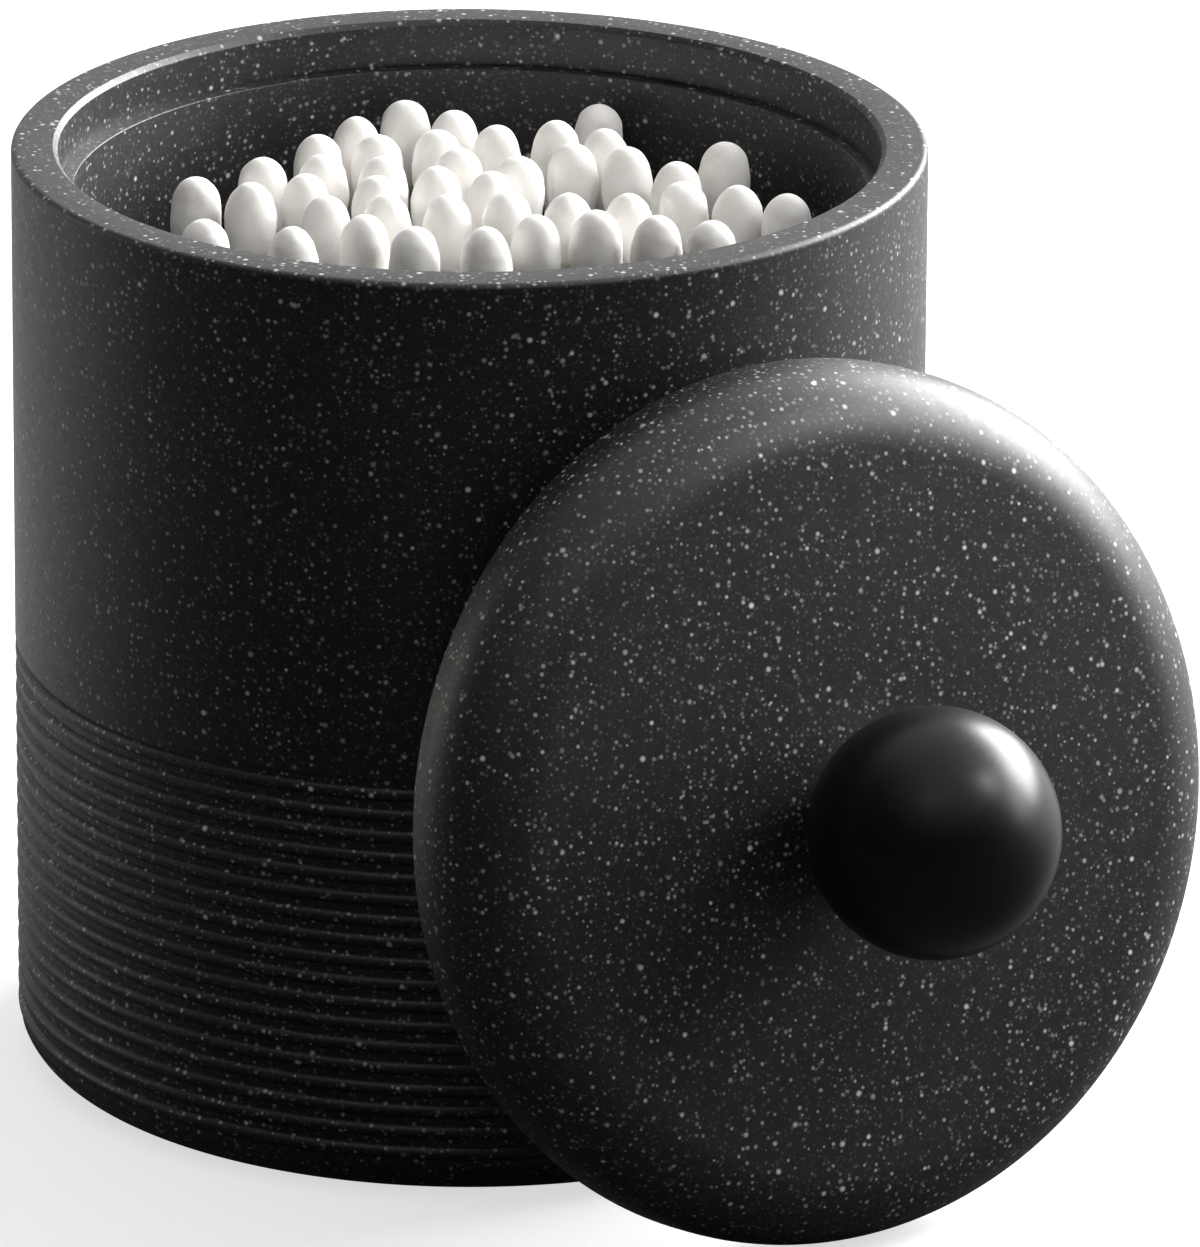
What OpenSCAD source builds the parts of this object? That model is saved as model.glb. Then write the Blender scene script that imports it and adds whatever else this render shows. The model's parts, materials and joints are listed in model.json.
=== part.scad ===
// Round speckled cotton swab jar with a ball-knob lid that leans against it, filled with cotton swabs.
// Millimetres. +Z is up, the origin is the centre of the jar's flat base.

/* [Jar] */
// Outside diameter of the jar
jar_d = 84; // [76:1:96]
// Height from the base to the flat rim
jar_h = 87.8; // [84:0.2:110]
// Width of the flat rim round the mouth
rim_w = 4.3; // [3.5:0.1:6]
// Width of the ledge at the bottom of the mouth's recess, which takes the lid's plug
ledge_w = 1.3; // [0.8:0.1:2]
// Depth of the recess under the rim
seat_depth = 4.4; // [4:0.2:8]
// Thickness of the base
base_t = 7; // [4:0.5:10]
// Rounding of the rim's outer edge
rim_round = 0.6; // [0.3:0.1:1.2]
// Chamfer of the rim's inner edge
rim_chamfer = 0.4; // [0.2:0.1:1]
// Rounding of the outside bottom edge
foot_round = 5; // [3:0.5:6]
// Rounding inside, between floor and wall
floor_round = 4; // [1:0.5:6]

/* [Ribs] */
// Number of ribs round the lower wall
rib_count = 18; // [6:1:20]
// Distance from one rib to the next
rib_pitch = 2.03; // [1.8:0.01:2.2]
// Radius of a rib's round back
rib_round = 0.7; // [0.6:0.05:0.8]
// Depth of the grooves between the ribs
rib_depth = 0.45; // [0.3:0.05:0.6]
// Height of the lowest rib over the base
rib_start = 4.7; // [4:0.1:8]

/* [Lid] */
// Distance of the closed lid's edge from the jar's outer edge
lid_inset = 2; // [1:0.1:3]
// Thickness of the lid in its middle
lid_t = 11.5; // [11:0.5:14]
// Radius of the lid's domed face
dome_r = 400; // [300:10:800]
// Rounding of the lid's upper edge
lid_shoulder = 8; // [4:0.5:8.5]
// Rounding of the lid's lower edge
lid_edge = 0.5; // [0.3:0.1:1]
// Height of the plug under the lid
plug_h = 2.5; // [1:0.5:4]
// Gap round the plug in the jar's mouth
plug_gap = 0.4; // [0.2:0.1:1]
// Chamfer of the plug's lower edge
plug_chamfer = 0.5; // [0.2:0.1:0.8]
// Angle by which the lid leans back from upright
lid_lean = 10.5; // [6:0.5:22]
// Angle from the front to the side at which the lid leans on the jar
lid_side = 35; // [0:1:60]
// Angle by which the lid faces nearer the front than that
lid_turn = 4.5; // [0:0.5:8]
// Gap between the lid and the jar's wall
lean_gap = 0.3; // [0.1:0.1:0.6]

/* [Knob] */
// Diameter of the ball knob
knob_d = 22.6; // [18:0.2:28]
// Height of the neck between the lid and the ball
neck_h = 1.5; // [1:0.5:6]
// Diameter of the neck
neck_d = 9; // [7:0.5:12]
// Diameter of the fixing screw
screw_d = 4; // [3:0.5:5]
// Length of the screw inside the knob
screw_grip = 10; // [6:0.5:12]
// Diameter of the screw's head
head_d = 7.6; // [6:0.2:8.4]
// Height of the screw's head
head_h = 2.4; // [1.5:0.1:3]
// Gap round the screw in the lid's hole
screw_gap = 0.25; // [0.1:0.05:0.5]
// Gap round the screw in the knob's thread
thread_gap = 0.05; // [0.02:0.01:0.1]
// Diameter of the washer
washer_d = 9; // [8.6:0.2:10]
// Thickness of the washer
washer_t = 0.8; // [0.5:0.1:1.2]
// Gap round the washer in its recess
recess_gap = 0.4; // [0.2:0.1:1]
// Depth of the recess for washer and head
recess_h = 3.8; // [3.6:0.1:4.5]

/* [Swabs] */
// Length of a swab
swab_l = 75; // [70:0.5:76]
// Diameter of a cotton tip
tip_d = 4.9; // [4.6:0.1:5]
// Diameter of a tip's round end
nose_d = 4.5; // [4:0.1:4.5]
// Radius of a tip's long sides
belly_r = 8; // [7:0.5:20]
// Diameter of the paper stick
stick_d = 2.2; // [1.8:0.1:2.6]
// Gap between the outermost swabs and the wall
side_gap = 2.3; // [2:0.1:6]
// Gap between the swabs and the jar's floor
stand_gap = 0.3; // [0.1:0.1:0.5]
// How far in the lower ends stand, as a share of the upper ends' distance
gather = 1; // [0.99:0.01:1.04]
// How far towards the front the lower ends stand
step_front = 4; // [0:0.5:5]

/* [Hidden] */
$fn = 96;
jar_r = jar_d / 2;
mouth_r = jar_r - rim_w;
bore_r = mouth_r - ledge_w;
seat_z = jar_h - seat_depth;
rib_top = rib_start + (rib_count - 1) * rib_pitch;
core_r = jar_r - rib_depth;
// Half a groove's width, from a rib's middle to where the plain wall begins
land = rib_pitch / 2 + (rib_pitch - 2 * rib_round) / 2 + 0.1;

lid_r = jar_r - lid_inset;
plug_r = mouth_r - plug_gap;
knob_r = knob_d / 2;
screw_r = screw_d / 2;
hole_r = screw_r + screw_gap;
recess_r = washer_d / 2 + recess_gap;
// Height of the recess's end, which the washer lies against
recess_top = recess_h - plug_h;
// Flat seat of the neck in the middle of the dome
land_r = neck_d / 2 + 0.5;
dome_z = lid_t - sqrt(dome_r * dome_r - land_r * land_r);
shoulder_r = lid_r - lid_shoulder;
shoulder_z = dome_z + sqrt(pow(dome_r - lid_shoulder, 2) - shoulder_r * shoulder_r);
// Height of the ball's centre over the lid, where the ball meets the neck
ball_z = neck_h + sqrt(knob_r * knob_r - neck_d * neck_d / 4);

tip_r = tip_d / 2;
nose_r = nose_d / 2;
stick_r = stick_d / 2;
// Middle of the arc that draws a tip's long side: how far beyond the axis and how high
belly_x = belly_r - tip_r;
belly_z = nose_r + sqrt(pow(belly_r - nose_r, 2) - belly_x * belly_x);
// Height at which the round end runs into the long side
nose_join = nose_r * (1 - (belly_z - nose_r) / (belly_r - nose_r));
bundle_r = bore_r - tip_r - side_gap;

// Where the upper ends stand, seen from above: x to the right and y to the back
plan = [
    [-25, 6.5], [-24, -6], [-20, 5], [-19, 12.5], [-15, 7.5], [-16, -8], [-14, 19.5],
    [-13.5, 13.5], [-13, 1], [-10.5, 25], [-8.5, 19.5], [-8, 13], [-8.5, 7], [-7.5, 1.5],
    [-9.5, -4.5], [-6, 30], [-5, -8], [-3, 21], [-1.5, 27], [-1, 15.5], [-3, 10],
    [-2, 1.5], [2.5, 22.5], [4.5, 13], [2, 8.5], [3.5, 2.5], [1.5, -8], [6, -4.5],
    [8, 24], [9.5, 17], [12.5, 21.5], [12, 29], [14.5, 16], [9, 2], [11.5, -3],
    [14.5, 2], [17, -4.5], [19, 11.5], [19.5, 5.5], [22, -6], [23.5, 17.5], [24.5, 4.5],
    [29, 2]
];
swab_count = len(plan);
// How far the outermost of them is from the middle, which becomes bundle_r
plan_reach = max([for (place = plan) norm(place)]);

function swab_name(i) = str("swab_", i < 9 ? "0" : "", i + 1);
function upper_end(i) = plan[i] * bundle_r / plan_reach;
function lower_end(i) = upper_end(i) * gather - [0, step_front];

// The lid's section, from its axis to its outer edge, without the plug
module lid_section() {
    intersection() {
        translate([0, dome_z])
            circle(dome_r, $fn = 720);
        square([shoulder_r * dome_r / (dome_r - lid_shoulder), lid_t]);
    }
    translate([shoulder_r, shoulder_z])
        intersection() {
            circle(lid_shoulder);
            square(lid_shoulder);
        }
    square([lid_r - lid_edge, shoulder_z]);
    translate([0, lid_edge])
        square([lid_r, shoulder_z - lid_edge]);
    translate([lid_r - lid_edge, lid_edge])
        circle(lid_edge, $fn = 32);
}

module plug_section() {
    polygon([
        [0, 1], [plug_r, 1], [plug_r, plug_chamfer - plug_h],
        [plug_r - plug_chamfer, -plug_h], [0, -plug_h]
    ]);
}

// Plain foot under the ribs, with its rounded bottom edge
module foot_section() {
    intersection() {
        union() {
            square([jar_r - foot_round, jar_h / 2]);
            translate([jar_r - foot_round, foot_round])
                circle(foot_round);
            translate([0, foot_round])
                square([jar_r, jar_h / 2]);
        }
        square([jar_r, rib_start - land]);
    }
}

module rib_section() {
    translate([0, foot_round / 2])
        square([core_r, rib_top - foot_round / 2]);
    for (i = [0 : rib_count - 1])
        translate([jar_r - rib_round, rib_start + i * rib_pitch])
            circle(rib_round, $fn = 32);
}

// Plain upper wall with its rounded rim
module wall_section() {
    translate([0, rib_top])
        square([core_r, land]);
    translate([0, rib_top + land]) {
        square([jar_r, jar_h - rib_top - land - rim_round]);
        square([jar_r - rim_round, jar_h - rib_top - land]);
    }
    translate([jar_r - rim_round, jar_h - rim_round])
        circle(rim_round, $fn = 32);
}

module cavity_section() {
    translate([0, base_t]) {
        square([bore_r - floor_round, jar_h]);
        translate([0, floor_round])
            square([bore_r, jar_h]);
        translate([bore_r - floor_round, floor_round])
            circle(floor_round);
    }
    translate([0, seat_z])
        square([mouth_r, jar_h]);
    polygon([
        [0, jar_h - rim_chamfer], [mouth_r, jar_h - rim_chamfer],
        [mouth_r + 2 * rim_chamfer, jar_h + rim_chamfer], [0, jar_h + rim_chamfer]
    ]);
}

module jar() {
    color("#1c1c1d")
        rotate_extrude()
            difference() {
                union() {
                    foot_section();
                    rib_section();
                    wall_section();
                }
                cavity_section();
            }
}

// How far from the jar's axis the leaning lid stands, so that a circle of radius r at height z
// over its underside clears the wall
function clear_of_wall(r, z) = max([
    for (a = [0 : 3 : 357])
        let (
            side = r * cos(a),
            back = r * sin(a) * sin(lid_lean) - z * cos(lid_lean),
            x = side * cos(lid_turn) + back * sin(lid_turn),
            y = back * cos(lid_turn) - side * sin(lid_turn)
        )
        y + sqrt(max(0, pow(jar_r + lean_gap, 2) - x * x))
]);

// Puts what is drawn on the lid's underside, knob upwards, where the lid stands on its edge.
// What touches the jar's wall is the plug's edge or the lid's own.
module leaning() {
    edge_r = lid_r - lid_edge;
    away = max(
        clear_of_wall(edge_r, 0),
        clear_of_wall(plug_r, plug_chamfer - plug_h),
        clear_of_wall(plug_r - plug_chamfer, -plug_h)
    );
    up = edge_r * cos(lid_lean) + lid_edge * (1 - sin(lid_lean));
    rotate([0, 0, lid_side])
        translate([0, -away, up])
            rotate([90 - lid_lean, 0, -lid_turn])
                children();
}

module lid() {
    color("#1c1c1d")
        leaning()
            difference() {
                union() {
                    rotate_extrude()
                        lid_section();
                    rotate_extrude()
                        plug_section();
                }
                translate([0, 0, -plug_h - 1])
                    cylinder(r = hole_r, h = plug_h + lid_t + 2);
                translate([0, 0, -plug_h - 1])
                    cylinder(r = recess_r, h = recess_h + 1);
            }
}

module knob() {
    color("#111112")
        leaning()
            translate([0, 0, lid_t])
                difference() {
                    union() {
                        cylinder(d = neck_d, h = ball_z);
                        translate([0, 0, ball_z])
                            sphere(r = knob_r);
                    }
                    translate([0, 0, -1])
                        cylinder(r = screw_r + thread_gap, h = screw_grip + 2);
                }
}

module knob_screw() {
    color("#b9bbbe")
        leaning() {
            translate([0, 0, recess_top - washer_t - head_h])
                cylinder(d = head_d, h = head_h);
            translate([0, 0, recess_top - washer_t])
                cylinder(r = screw_r, h = lid_t - recess_top + washer_t + screw_grip);
        }
}

module knob_washer() {
    color("#b9bbbe")
        leaning()
            translate([0, 0, recess_top - washer_t])
                difference() {
                    cylinder(d = washer_d, h = washer_t);
                    translate([0, 0, -1])
                        cylinder(r = hole_r, h = washer_t + 2);
                }
}

// Section of a cotton tip with its round end at the origin, egg-shaped and wound out on the stick
module tip_section() {
    intersection() {
        union() {
            translate([0, nose_r])
                circle(nose_r);
            translate([0, nose_join])
                intersection() {
                    translate([-belly_x, belly_z - nose_join])
                        circle(belly_r, $fn = 128);
                    square([tip_r, 2 * belly_r]);
                }
        }
        square([tip_r, nose_r + 2 * belly_r]);
    }
}

// Swab standing on its lower tip, which is at the origin
module swab_shape() {
    color("#f3f1ea") {
        rotate_extrude($fn = 48)
            tip_section();
        translate([0, 0, swab_l])
            mirror([0, 0, 1])
                rotate_extrude($fn = 48)
                    tip_section();
        translate([0, 0, nose_r])
            cylinder(r = stick_r, h = swab_l - 2 * nose_r, $fn = 32);
    }
}

// Swab number i, from its lower end towards its upper end
module swab(i) {
    foot = lower_end(i);
    run = upper_end(i) - foot;
    reach = norm(run);
    tilt = asin(reach / (swab_l - 2 * tip_r));
    turn = atan2(run[1], run[0]);
    translate([foot[0], foot[1], base_t + stand_gap + tip_r])
        rotate([0, tilt, turn])
            translate([0, 0, -tip_r])
                swab_shape();
}

jar();
lid();
knob();
knob_screw();
knob_washer();
for (i = [0 : swab_count - 1])
    swab(i);
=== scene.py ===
"""Round speckled cotton swab jar with its ball-knob lid leaning on it, and the swabs that it holds."""
import json
import math
import random

import bmesh
import bpy
from mathutils import Matrix, Vector, noise

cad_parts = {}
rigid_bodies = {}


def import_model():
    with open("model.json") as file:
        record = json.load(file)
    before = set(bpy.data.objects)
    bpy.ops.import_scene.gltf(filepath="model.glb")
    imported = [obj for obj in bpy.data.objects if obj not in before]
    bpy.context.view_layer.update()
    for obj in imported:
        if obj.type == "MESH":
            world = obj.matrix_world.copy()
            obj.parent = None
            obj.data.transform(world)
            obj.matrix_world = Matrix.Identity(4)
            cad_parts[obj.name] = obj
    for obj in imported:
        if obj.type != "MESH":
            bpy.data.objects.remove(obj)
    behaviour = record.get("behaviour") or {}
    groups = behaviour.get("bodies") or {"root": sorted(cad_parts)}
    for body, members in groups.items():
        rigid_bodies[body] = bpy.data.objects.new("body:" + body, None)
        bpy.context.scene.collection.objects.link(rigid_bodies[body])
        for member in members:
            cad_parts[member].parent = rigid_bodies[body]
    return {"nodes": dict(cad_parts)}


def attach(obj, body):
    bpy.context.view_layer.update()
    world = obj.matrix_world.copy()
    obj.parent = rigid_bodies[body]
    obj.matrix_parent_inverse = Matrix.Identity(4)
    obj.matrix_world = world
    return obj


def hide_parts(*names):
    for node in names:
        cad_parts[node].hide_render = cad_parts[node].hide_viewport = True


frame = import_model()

MM = 0.001
TINY = 1e-6
nodes = frame["nodes"]
for spare in [o for o in bpy.data.objects if o.name in ("Cube", "Light", "Camera")]:
    bpy.data.objects.remove(spare)
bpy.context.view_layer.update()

# Camera: the photograph's frame, where the camera stands and how it is turned
FRAME_W, FRAME_H = 1200, 1247
CAMERA_AWAY, CAMERA_UP = 1.2234, 0.4762
CAMERA_DOWN, CAMERA_RIGHT, CAMERA_ROLL = math.radians(19.58), math.radians(0.57), math.radians(-0.32)
FOCAL_PX = 14010
SENSOR = 36
CLIP = 0.05, 20

# Jar, in millimetres, as the solid has it
JAR_R, JAR_H, BASE_T = 42.0, 87.8, 7.0
RIM_W, LEDGE_W, SEAT_DEPTH = 4.3, 1.3, 4.4
RIM_ROUND, RIM_CHAMFER, FOOT_ROUND, FLOOR_ROUND = 0.6, 0.4, 5.0, 4.0
RIBS, RIB_PITCH, RIB_ROUND, RIB_DEPTH, RIB_START = 18, 2.03, 0.7, 0.45, 4.7
EDGE = 0.12

# Lid and knob
LID_R, LID_T, DOME_R, LID_SHOULDER, LID_EDGE = 40.0, 11.5, 400.0, 8.0, 0.5
PLUG_R, PLUG_H, PLUG_CHAMFER = 37.3, 2.5, 0.5
LID_LEAN, LID_SIDE, LID_TURN, LEAN_GAP = math.radians(10.5), math.radians(35), math.radians(4.5), 0.3
HOLE_R, RECESS_R, RECESS_H = 2.25, 4.9, 3.8
KNOB_R, NECK_R, NECK_H, THREAD_R, THREAD_H = 11.3, 4.5, 1.5, 2.05, 11.0

# Swabs
TIP_R, NOSE_R, BELLY_R, STICK_R = 2.45, 2.25, 8.0, 1.1
SWAB_SIDES = 44
COTTON_SLOT, PAPER_SLOT = 0, 1
# Unevenness of the cotton: how often it changes in a millimetre, and by how many millimetres
LUMPS = ((0.32, 0.17), (1.1, 0.06))


def make_camera():
    """Camera of the photograph: where it stood, how it was turned and how far it was zoomed in."""
    data = bpy.data.cameras.new("camera")
    data.sensor_fit = "AUTO"
    data.sensor_width = SENSOR
    data.lens = FOCAL_PX * SENSOR / max(FRAME_W, FRAME_H)
    data.clip_start, data.clip_end = CLIP
    camera = bpy.data.objects.new("camera", data)
    bpy.context.scene.collection.objects.link(camera)
    camera.location = (0, -CAMERA_AWAY, CAMERA_UP)
    turn = Matrix.Rotation(-CAMERA_RIGHT, 4, "Z") @ Matrix.Rotation(math.pi / 2 - CAMERA_DOWN, 4, "X")
    camera.rotation_mode = "QUATERNION"
    camera.rotation_quaternion = (turn @ Matrix.Rotation(-CAMERA_ROLL, 4, "Z")).to_quaternion()
    bpy.context.scene.camera = camera


# Materials
class Nodes:
    """Short helper that adds and links shader nodes of one material or world."""

    def __init__(self, tree):
        self.tree = tree
        tree.nodes.clear()

    def add(self, kind, values=None, **settings):
        node = self.tree.nodes.new(kind)
        for name, value in settings.items():
            setattr(node, name, value)
        for name, value in (values or {}).items():
            if isinstance(value, bpy.types.NodeSocket):
                self.tree.links.new(value, node.inputs[name])
            else:
                node.inputs[name].default_value = value
        return node

    def math(self, operation, a, b=0.0):
        return self.add("ShaderNodeMath", {0: a, 1: b}, operation=operation).outputs[0]

    def steps(self, source, low, high):
        values = {"Value": source, "From Min": low, "From Max": high}
        return self.add("ShaderNodeMapRange", values, interpolation_type="SMOOTHSTEP").outputs["Result"]

    def mix(self, factor, a, b):
        node = self.add("ShaderNodeMix", {"Factor": factor}, data_type="RGBA")
        for socket, value in ((node.inputs[6], a), (node.inputs[7], b)):
            if isinstance(value, bpy.types.NodeSocket):
                self.tree.links.new(value, socket)
            else:
                socket.default_value = (*value, 1)
        return node.outputs[2]


def new_material(name):
    """An empty material and the helper for its nodes."""
    material = bpy.data.materials.new(name)
    material.use_nodes = True
    return material, Nodes(material.node_tree)


def finish_material(n, shader):
    """Links the last shader to the material's output."""
    out = n.add("ShaderNodeOutputMaterial")
    n.tree.links.new(shader.outputs[0], out.inputs["Surface"])


# Grit in the body: spacing and radius of the grains in millimetres, the share shown and how pale they are
GRIT = ((0.42, 0.17, 0.95, 0.115), (0.66, 0.24, 0.80, 0.48), (1.40, 0.31, 0.80, 0.78))


def speckled(name, lit_speck_gain=1.0):
    """Matt near-black stoneware with pale grains through the whole body. Its second argument makes the
    specks paler on a piece that stands in more light: painted light in the colour.
    """
    material, n = new_material(name)
    place = n.add("ShaderNodeTexCoord").outputs["Object"]
    cloud = n.add("ShaderNodeTexNoise", {"Vector": place, "Scale": 60.0, "Detail": 3.0}).outputs["Fac"]
    fine = n.add("ShaderNodeTexNoise", {"Vector": place, "Scale": 2600.0, "Detail": 3.0}).outputs["Fac"]
    body = n.mix(n.steps(cloud, 0.3, 0.7), (0.0062, 0.0062, 0.0066), (0.0092, 0.0092, 0.0097))
    body = n.mix(n.steps(fine, 0.45, 0.8), body, (0.018, 0.018, 0.019))
    for cell, radius, share, pale in GRIT:
        spots = n.add("ShaderNodeTexVoronoi", {"Vector": place, "Scale": 1 / (cell * MM)})
        chance = n.add("ShaderNodeSeparateColor", {"Color": spots.outputs["Color"]})
        size = n.math("MULTIPLY_ADD", chance.outputs[0], 0.65)
        size.node.inputs[2].default_value = 0.5
        near = n.math("DIVIDE", spots.outputs["Distance"], size)
        spot = n.math("SUBTRACT", 1.0, n.steps(near, radius / cell * 0.25, radius / cell * 1.1))
        shown = n.math("LESS_THAN", chance.outputs[1], share)
        level = n.math("MULTIPLY_ADD", n.math("POWER", chance.outputs[2], 1.6), 0.85)
        level.node.inputs[2].default_value = 0.15
        spot = n.math("MULTIPLY", n.math("MULTIPLY", spot, shown), level)
        # A gain above 1 paints the specks paler for a piece that gets more light: painted light, not paler
        # grit.
        bright = min(pale * lit_speck_gain, 0.85)
        body = n.mix(spot, body, (bright, bright, bright * 0.98))
    grain = n.add("ShaderNodeTexNoise", {"Vector": place, "Scale": 900.0, "Detail": 4.0}).outputs["Fac"]
    rough = n.add("ShaderNodeMapRange", {"Value": grain, "To Min": 0.38, "To Max": 0.56}).outputs["Result"]
    bump = n.add("ShaderNodeBump", {"Height": grain, "Strength": 0.25, "Distance": 0.06 * MM})
    shader = n.add("ShaderNodeBsdfPrincipled", {
        "Base Color": body, "Roughness": rough, "Normal": bump.outputs[0], "Specular IOR Level": 0.6})
    finish_material(n, shader)
    return material


def satin_black():
    """Smooth satin black of the ball knob."""
    material, n = new_material("satin_black")
    place = n.add("ShaderNodeTexCoord").outputs["Object"]
    grain = n.add("ShaderNodeTexNoise", {"Vector": place, "Scale": 1800.0, "Detail": 3.0}).outputs["Fac"]
    tone = n.mix(grain, (0.0028, 0.0028, 0.0029), (0.0045, 0.0045, 0.0046))
    rough = n.add("ShaderNodeMapRange", {"Value": grain, "To Min": 0.28, "To Max": 0.38}).outputs["Result"]
    bump = n.add("ShaderNodeBump", {"Height": grain, "Strength": 0.12, "Distance": 0.03 * MM})
    shader = n.add("ShaderNodeBsdfPrincipled", {
        "Base Color": tone, "Roughness": rough, "Normal": bump.outputs[0], "Specular IOR Level": 0.32})
    finish_material(n, shader)
    return material


def steel():
    """Brushed steel of the screw and the washer."""
    material, n = new_material("brushed_steel")
    place = n.add("ShaderNodeTexCoord").outputs["Object"]
    grain = n.add("ShaderNodeTexNoise", {"Vector": place, "Scale": 3200.0, "Detail": 3.0}).outputs["Fac"]
    rough = n.add("ShaderNodeMapRange", {"Value": grain, "To Min": 0.22, "To Max": 0.42}).outputs["Result"]
    tone = n.mix(grain, (0.50, 0.51, 0.53), (0.64, 0.65, 0.66))
    bump = n.add("ShaderNodeBump", {"Height": grain, "Strength": 0.15, "Distance": 0.02 * MM})
    shader = n.add("ShaderNodeBsdfPrincipled",
                   {"Base Color": tone, "Roughness": rough, "Metallic": 1.0, "Normal": bump.outputs[0]})
    finish_material(n, shader)
    return material


def cotton():
    """Matt wound cotton with fine fibres."""
    material, n = new_material("cotton")
    place = n.add("ShaderNodeTexCoord").outputs["Object"]
    cloud = n.add("ShaderNodeTexNoise", {"Vector": place, "Scale": 260.0, "Detail": 3.0}).outputs["Fac"]
    fibre = n.add("ShaderNodeTexNoise", {
        "Vector": place, "Scale": 5200.0, "Detail": 6.0, "Roughness": 0.7}).outputs["Fac"]
    tone = n.mix(n.steps(cloud, 0.35, 0.65), (0.83, 0.80, 0.765), (0.90, 0.88, 0.85))
    tone = n.mix(n.steps(fibre, 0.3, 0.7), tone, (0.91, 0.895, 0.87))
    bump = n.add("ShaderNodeBump", {"Height": fibre, "Strength": 0.35, "Distance": 0.05 * MM})
    shader = n.add("ShaderNodeBsdfPrincipled", {
        "Base Color": tone, "Roughness": 0.92, "Normal": bump.outputs[0],
        "Sheen Weight": 0.25, "Sheen Roughness": 0.5,
        "Subsurface Weight": 0.25, "Subsurface Scale": 0.0006, "Specular IOR Level": 0.15})
    shader.inputs["Subsurface Radius"].default_value = (1.0, 0.9, 0.8)
    finish_material(n, shader)
    return material


def paper():
    """Rolled paper of the swabs' sticks."""
    material, n = new_material("paper")
    place = n.add("ShaderNodeTexCoord").outputs["Object"]
    grain = n.add("ShaderNodeTexNoise", {"Vector": place, "Scale": 2400.0, "Detail": 4.0}).outputs["Fac"]
    tone = n.mix(grain, (0.84, 0.83, 0.80), (0.91, 0.90, 0.88))
    bump = n.add("ShaderNodeBump", {"Height": grain, "Strength": 0.1, "Distance": 0.03 * MM})
    shader = n.add("ShaderNodeBsdfPrincipled", {
        "Base Color": tone, "Roughness": 0.7, "Normal": bump.outputs[0]})
    finish_material(n, shader)
    return material


# Turned pieces
SHARP = math.radians(50)
JAR_SIDES, LID_SIDES, KNOB_SIDES = 288, 240, 128


def arc(x, z, radius, start, end, steps):
    """Points of a circle's arc in the section, angles in degrees from the outward direction."""
    angles = [math.radians(start + (end - start) * i / steps) for i in range(steps + 1)]
    return [(x + radius * math.cos(a), z + radius * math.sin(a)) for a in angles]


def lay_faces(mesh, a, b, sides):
    """Smooth faces between two rings of vertices, of which one may be a single point."""
    faces = []
    for k in range(sides):
        k1 = (k + 1) % sides
        if len(a) == 1:
            corners = (a[0], b[k1], b[k])
        elif len(b) == 1:
            corners = (a[k], a[k1], b[0])
        else:
            corners = (a[k], a[k1], b[k1], b[k])
        face = mesh.faces.new(corners)
        face.smooth = True
        faces.append(face)
    return faces


def add_piece(name, mesh):
    """Turns the built mesh into an object that rides the part."""
    bmesh.ops.recalc_face_normals(mesh, faces=mesh.faces)
    data = bpy.data.meshes.new(name)
    mesh.to_mesh(data)
    mesh.free()
    piece = bpy.data.objects.new(name, data)
    bpy.context.scene.collection.objects.link(piece)
    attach(piece, "root")
    return piece


def turned(name, section, sides, place=Matrix.Identity(4), closed=False):
    """Turns a section of (radius, height) points in millimetres about the local Z axis."""
    mesh = bmesh.new()
    rings = []
    for radius, height in section:
        count = 1 if radius < TINY else sides
        ring = []
        for k in range(count):
            a = math.tau * k / sides
            spot = Vector((radius * math.cos(a), radius * math.sin(a), height)) * MM
            ring.append(mesh.verts.new(place @ spot))
        rings.append(ring)
    pairs = list(zip(rings, rings[1:]))
    if closed:
        pairs.append((rings[-1], rings[0]))
    for a, b in pairs:
        lay_faces(mesh, a, b, sides)
    piece = add_piece(name, mesh)
    piece.data.set_sharp_from_angle(angle=SHARP)
    return piece


def jar_section():
    """The jar's section from the middle of its underside round the rim to the middle of its floor."""
    core = JAR_R - RIB_DEPTH
    mouth = JAR_R - RIM_W
    bore = mouth - LEDGE_W
    land = RIB_PITCH / 2 + (RIB_PITCH - 2 * RIB_ROUND) / 2 + 0.1
    foot_top = RIB_START - land
    wall_low = RIB_START + (RIBS - 1) * RIB_PITCH + land
    foot_end = math.degrees(math.asin((foot_top - FOOT_ROUND) / FOOT_ROUND))
    half = math.degrees(math.acos((core - JAR_R + RIB_ROUND) / RIB_ROUND))
    section = [(0, 0)] + arc(JAR_R - FOOT_ROUND, FOOT_ROUND, FOOT_ROUND, -90, foot_end, 16)
    section.append((core, foot_top))
    for i in range(RIBS):
        section += arc(JAR_R - RIB_ROUND, RIB_START + i * RIB_PITCH, RIB_ROUND, -half, half, 10)
    section += [(core, wall_low)] + arc(JAR_R - EDGE, wall_low + EDGE, EDGE, -90, 0, 3)
    section += arc(JAR_R - RIM_ROUND, JAR_H - RIM_ROUND, RIM_ROUND, 0, 90, 8)
    section += arc(mouth + RIM_CHAMFER + EDGE, JAR_H - EDGE, EDGE, 90, 135, 3)
    section += arc(mouth + EDGE, JAR_H - RIM_CHAMFER - EDGE, EDGE, 135, 180, 3)
    seat = JAR_H - SEAT_DEPTH
    section += [(mouth, seat)] + arc(bore + EDGE, seat - EDGE, EDGE, 90, 180, 4)
    section += arc(bore - FLOOR_ROUND, BASE_T + FLOOR_ROUND, FLOOR_ROUND, 0, -90, 12) + [(0, BASE_T)]
    return section


def build_jar(material):
    """The jar with its ribs, rim and ledge."""
    jar = turned("jar_shell", jar_section(), JAR_SIDES)
    jar.data.materials.append(material)
    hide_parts("jar")


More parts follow.
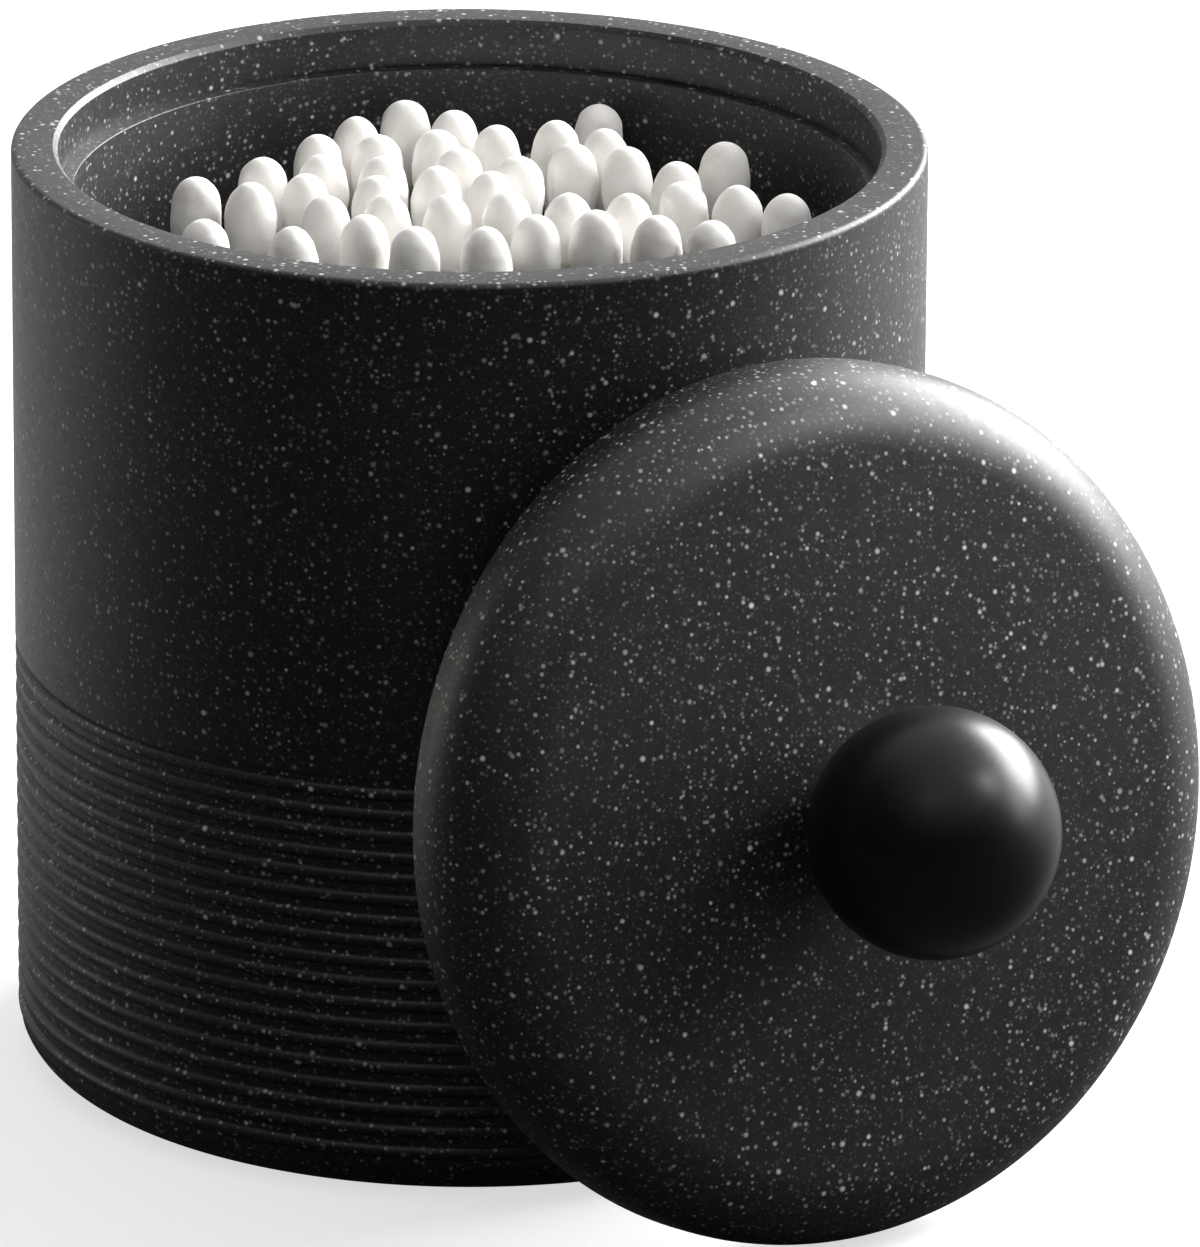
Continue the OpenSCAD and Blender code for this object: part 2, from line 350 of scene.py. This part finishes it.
def clear_of_wall(r, z):
    """How far out the leaning lid stands, so that a circle over its underside clears the wall."""
    reach = []
    for a in range(0, 360, 3):
        side = r * math.cos(math.radians(a))
        back = r * math.sin(math.radians(a)) * math.sin(LID_LEAN) - z * math.cos(LID_LEAN)
        x = side * math.cos(LID_TURN) + back * math.sin(LID_TURN)
        y = back * math.cos(LID_TURN) - side * math.sin(LID_TURN)
        reach.append(y + math.sqrt(max(0.0, (JAR_R + LEAN_GAP) ** 2 - x * x)))
    return max(reach)


def leaning():
    """Where the lid's underside and axis are, as it stands on its edge and leans on the jar."""
    edge_r = LID_R - LID_EDGE
    away = max(clear_of_wall(edge_r, 0), clear_of_wall(PLUG_R, PLUG_CHAMFER - PLUG_H),
               clear_of_wall(PLUG_R - PLUG_CHAMFER, -PLUG_H))
    up = edge_r * math.cos(LID_LEAN) + LID_EDGE * (1 - math.sin(LID_LEAN))
    spot = Matrix.Translation(Vector((0, -away, up)) * MM)
    turn = Matrix.Rotation(-LID_TURN, 4, "Z") @ Matrix.Rotation(math.pi / 2 - LID_LEAN, 4, "X")
    return Matrix.Rotation(LID_SIDE, 4, "Z") @ spot @ turn


def lid_section():
    """The lid's closed section: dome, shoulder, edge, plug, recess and screw hole."""
    land_r = NECK_R + 0.5
    dome_z = LID_T - math.sqrt(DOME_R ** 2 - land_r ** 2)
    shoulder_r = LID_R - LID_SHOULDER
    shoulder_z = dome_z + math.sqrt((DOME_R - LID_SHOULDER) ** 2 - shoulder_r ** 2)
    join = math.degrees(math.acos(shoulder_r / (DOME_R - LID_SHOULDER)))
    land = math.degrees(math.acos(land_r / DOME_R))
    section = [(HOLE_R, LID_T)] + arc(0, dome_z, DOME_R, land, join, 24)
    section += arc(shoulder_r, shoulder_z, LID_SHOULDER, join, 0, 20)[1:]
    section += arc(LID_R - LID_EDGE, LID_EDGE, LID_EDGE, 0, -90, 6)
    section += [(PLUG_R, 0), (PLUG_R, PLUG_CHAMFER - PLUG_H), (PLUG_R - PLUG_CHAMFER, -PLUG_H)]
    recess_top = RECESS_H - PLUG_H
    return section + [(RECESS_R, -PLUG_H), (RECESS_R, recess_top), (HOLE_R, recess_top)]


def build_lid(material):
    """The lid as it leans on the jar."""
    lid = turned("lid_disc", lid_section(), LID_SIDES, leaning(), closed=True)
    lid.data.materials.append(material)
    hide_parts("lid")


def build_knob(material):
    """The ball knob on the lid, with the hole for its screw."""
    ball_z = NECK_H + math.sqrt(KNOB_R ** 2 - NECK_R ** 2)
    meet = -math.degrees(math.acos(NECK_R / KNOB_R))
    section = [(0, THREAD_H), (THREAD_R, THREAD_H), (THREAD_R, 0), (NECK_R, 0)]
    section += arc(0, ball_z, KNOB_R, meet, 90, 60)[:-1] + [(0, ball_z + KNOB_R)]
    knob = turned("ball_knob", section, KNOB_SIDES, leaning() @ Matrix.Translation((0, 0, LID_T * MM)))
    knob.data.materials.append(material)
    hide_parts("knob")


# Swabs: cotton wound on both ends of a paper stick
def swab_poles(node):
    """Lower and upper pole of a swab's solid."""
    points = [v.co.copy() for v in nodes[node].data.vertices]
    low = min(points, key=lambda p: p.z)
    high = max(points, key=lambda p: p.z)
    for repeat in range(3):
        along = high - low
        low = min(points, key=lambda p: p.dot(along))
        high = max(points, key=lambda p: p.dot(along))
    return low, high


def cotton_radius(s, stretch):
    """Radius of the cotton at the distance s from its round end, in millimetres."""
    s = s / stretch
    belly_x = BELLY_R - TIP_R
    belly_z = NOSE_R + math.sqrt((BELLY_R - NOSE_R) ** 2 - belly_x ** 2)
    join = NOSE_R * (1 - (belly_z - NOSE_R) / (BELLY_R - NOSE_R))
    if s < join:
        return math.sqrt(max(NOSE_R ** 2 - (NOSE_R - s) ** 2, 0.0))
    return math.sqrt(max(BELLY_R ** 2 - (s - belly_z) ** 2, 0.0)) - belly_x


def cotton_rows(rng):
    """Distances from the round end and radii of one cotton tip, as far as the stick."""
    stretch = rng.uniform(0.97, 1.12)
    fat = rng.uniform(0.96, 1.0)
    slim = rng.uniform(0.02, 0.12)
    rows = []
    s = 0.0
    while s < NOSE_R or cotton_radius(s, stretch) * fat > STICK_R + 0.05:
        crown = 1 - slim * max(0.0, 1 - s / 3.4) ** 1.5
        rows.append((s, cotton_radius(s, stretch) * fat * crown))
        s += 0.05 if s < 0.3 else (0.12 if s < 1.2 else 0.22)
    return rows + [(s, STICK_R + 0.04)]


def build_swab(node, seed, materials):
    """A swab inside its solid's form: two uneven cotton tips on a paper stick."""
    low, high = swab_poles(node)
    rng = random.Random(seed)
    length = (high - low).length / MM
    turn = Vector((0, 0, 1)).rotation_difference(high - low).to_matrix().to_4x4()
    place = Matrix.Translation(low) @ turn
    lower, upper = cotton_rows(rng), cotton_rows(rng)
    rows = [(s, r, True) for s, r in lower]
    rows += [(lower[-1][0] + 0.02, STICK_R, False), (length - upper[-1][0] - 0.02, STICK_R, False)]
    rows += [(length - s, r, True) for s, r in reversed(upper)]
    shift = Vector((rng.uniform(0, 50), rng.uniform(0, 50), rng.uniform(0, 50)))
    twist = rng.uniform(0, math.tau)
    mesh = bmesh.new()
    rings = []
    for s, radius, soft in rows:
        if radius < TINY:
            rings.append([mesh.verts.new(place @ Vector((0, 0, s * MM)))])
            continue
        ring = []
        for k in range(SWAB_SIDES):
            a = math.tau * k / SWAB_SIDES
            r = radius
            if soft:
                where = Vector((math.cos(a) * radius, math.sin(a) * radius, s)) + shift
                lumps = sum(noise.noise(where * often) * tall for often, tall in LUMPS)
                r += lumps * min(1.0, radius / 1.5)
                r += 0.02 * math.sin(2 * (a + twist) + s * 0.8)
                r = max(r, STICK_R + 0.02) if s > NOSE_R and length - s > NOSE_R else r
            ring.append(mesh.verts.new(place @ (Vector((math.cos(a) * r, math.sin(a) * r, s)) * MM)))
        rings.append(ring)
    stick_row = len(lower)
    for i, (a, b) in enumerate(zip(rings, rings[1:])):
        for face in lay_faces(mesh, a, b, SWAB_SIDES):
            face.material_index = PAPER_SLOT if i == stick_row else COTTON_SLOT
    piece = add_piece("cotton_" + node, mesh)
    for material in materials:
        piece.data.materials.append(material)
    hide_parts(node)


# Floor, light and background
FLOOR_HALF = 6.0
TARGET = (0.02, -0.03, 0.05)
WARM = (1.0, 0.93, 0.86)


def seen(n):
    """The kind of ray, and 1 where the camera looks, straight or through something clear."""
    ray = n.add("ShaderNodeLightPath")
    return ray, n.math("MAXIMUM", ray.outputs["Is Camera Ray"], ray.outputs["Is Transmission Ray"])


def make_floor():
    """Plain floor: pale where the camera sees it, and darker in front for the light that it sends back."""
    data = bpy.data.meshes.new("floor")
    corners = [(-FLOOR_HALF, -FLOOR_HALF, 0), (FLOOR_HALF, -FLOOR_HALF, 0),
               (FLOOR_HALF, FLOOR_HALF, 0), (-FLOOR_HALF, FLOOR_HALF, 0)]
    data.from_pydata(corners, [], [(0, 1, 2, 3)])
    floor = bpy.data.objects.new("floor", data)
    bpy.context.scene.collection.objects.link(floor)
    material, n = new_material("floor")
    place = n.add("ShaderNodeSeparateXYZ", {"Vector": n.add("ShaderNodeTexCoord").outputs["Object"]})
    near = n.steps(place.outputs[1], -0.07, 0.12)
    plain = n.add("ShaderNodeBsdfDiffuse", {"Color": n.mix(near, (0.06, 0.06, 0.06), (0.34, 0.33, 0.32))})
    pale = n.add("ShaderNodeBsdfDiffuse", {"Color": (0.48, 0.48, 0.48, 1)})
    white = n.add("ShaderNodeEmission", {"Color": (1, 1, 1, 1), "Strength": 0.66})
    lit = n.add("ShaderNodeAddShader", {0: pale.outputs[0], 1: white.outputs[0]})
    ray, direct = seen(n)
    mirrored = n.math("MULTIPLY", ray.outputs["Is Glossy Ray"], n.math("MULTIPLY", near, 0.2))
    shown = n.math("MAXIMUM", direct, mirrored)
    finish_material(n, n.add("ShaderNodeMixShader", {0: shown, 1: plain.outputs[0], 2: lit.outputs[0]}))
    data.materials.append(material)


def area_light(name, place, size, power, tint=(1, 1, 1)):
    """Soft rectangular light that looks at the object; size in metres, power in watts."""
    data = bpy.data.lights.new(name, "AREA")
    data.shape = "RECTANGLE"
    data.size, data.size_y = size
    data.energy = power
    data.color = tint
    light = bpy.data.objects.new(name, data)
    light.location = place
    light.rotation_mode = "QUATERNION"
    light.rotation_quaternion = (Vector(TARGET) - Vector(place)).to_track_quat("-Z", "Y")
    bpy.context.scene.collection.objects.link(light)


def make_world():
    """White behind the object and above it, and a darker room in front and to the left."""
    world = bpy.data.worlds.new("world")
    bpy.context.scene.world = world
    world.use_nodes = True
    n = Nodes(world.node_tree)
    way = n.add("ShaderNodeSeparateXYZ", {"Vector": n.add("ShaderNodeTexCoord").outputs["Generated"]})
    right, back, up = way.outputs[0], way.outputs[1], way.outputs[2]
    behind = n.steps(back, -0.30, 0.45)
    above = n.math("MULTIPLY", n.steps(up, 0.25, 0.95), 0.85)
    light = n.math("MAXIMUM", behind, above)
    left = n.math("MULTIPLY", n.steps(right, 0.1, -0.8), 0.8)
    light = n.math("MULTIPLY", light, n.math("SUBTRACT", 1.0, left))
    light = n.math("MAXIMUM", light, 0.05)
    tint = n.mix(n.steps(right, 0.2, -0.8), (1.0, 1.0, 1.0), (1.0, 0.95, 0.90))
    room = n.add("ShaderNodeBackground", {"Color": tint, "Strength": light})
    shown = n.add("ShaderNodeBackground", {"Color": (1, 1, 1, 1), "Strength": 1.0})
    ray, direct = seen(n)
    mirrored = n.math("MULTIPLY", ray.outputs["Is Glossy Ray"], behind)
    mirrored = n.math("MULTIPLY", mirrored, n.steps(right, -0.8, -0.1))
    white = n.math("MAXIMUM", direct, mirrored)
    both = n.add("ShaderNodeMixShader", {0: white})
    n.tree.links.new(room.outputs[0], both.inputs[1])
    n.tree.links.new(shown.outputs[0], both.inputs[2])
    out = n.add("ShaderNodeOutputWorld")
    n.tree.links.new(both.outputs[0], out.inputs["Surface"])


def dress(node, material):
    """Puts a material on a CAD node that no other piece replaces."""
    for slot in nodes[node].material_slots:
        slot.material = material


make_camera()
make_floor()
make_world()
area_light("window", (0.86, 0.72, 0.575), (0.98, 0.60), 44.0)
area_light("side", (0.98, 0.10, 0.42), (0.50, 0.40), 4.0)
area_light("left", (-0.95, 0.32, 0.24), (0.30, 0.45), 0.9, WARM)
area_light("key", (0.40, -0.12, 0.44), (0.12, 0.12), 0.72)
area_light("front", (-0.05, -0.80, 0.95), (0.12, 0.12), 0.16)

build_jar(speckled("speckled_jar"))
# The lid's specks are painted 1.1 times paler than the jar's: painted light for the stronger light that
# falls on the lid.
build_lid(speckled("speckled_lid_painted_light", 1.1))
build_knob(satin_black())
metal = steel()
dress("knob_screw", metal)
dress("knob_washer", metal)
swab_materials = (cotton(), paper())
for seed, node in enumerate(sorted(n for n in nodes if n.startswith("swab_"))):
    build_swab(node, seed, swab_materials)

bpy.context.scene.view_settings.view_transform = "Standard"
